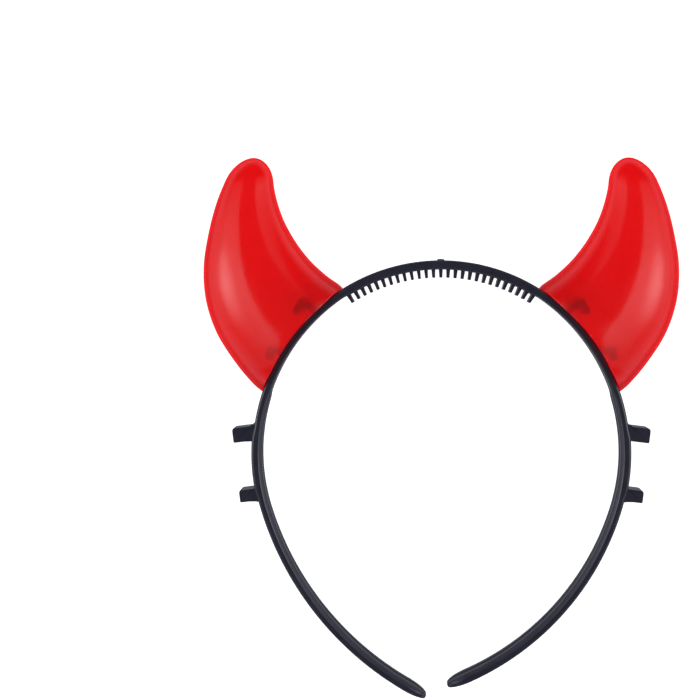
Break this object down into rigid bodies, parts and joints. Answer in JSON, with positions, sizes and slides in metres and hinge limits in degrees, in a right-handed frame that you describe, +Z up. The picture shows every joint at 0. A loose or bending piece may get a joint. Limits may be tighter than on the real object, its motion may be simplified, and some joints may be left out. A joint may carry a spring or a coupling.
{
  "type": "devil horns headband",
  "caption": "Costume headband: an open plastic band with comb teeth inside its crown, side tabs, and hollow curved devil horns pushed over hooks.",
  "frame": {"origin": "on the surface it lies on, under the middle of its box", "axes": "+X to the wearer's left as seen from the front, the picture's right; +Y from the arm ends to the horn tips; +Z up from the surface, the picture's front"},
  "size_m": [0.1636, 0.1856, 0.025],
  "materials": {
    "black_plastic": "satin, injection moulded",
    "red_plastic": "high gloss, slightly translucent"
  },
  "bodies": {
    "root": {"headband": "black_plastic", "horn_left": "red_plastic", "horn_right": "red_plastic"}
  },
  "joints": []
}
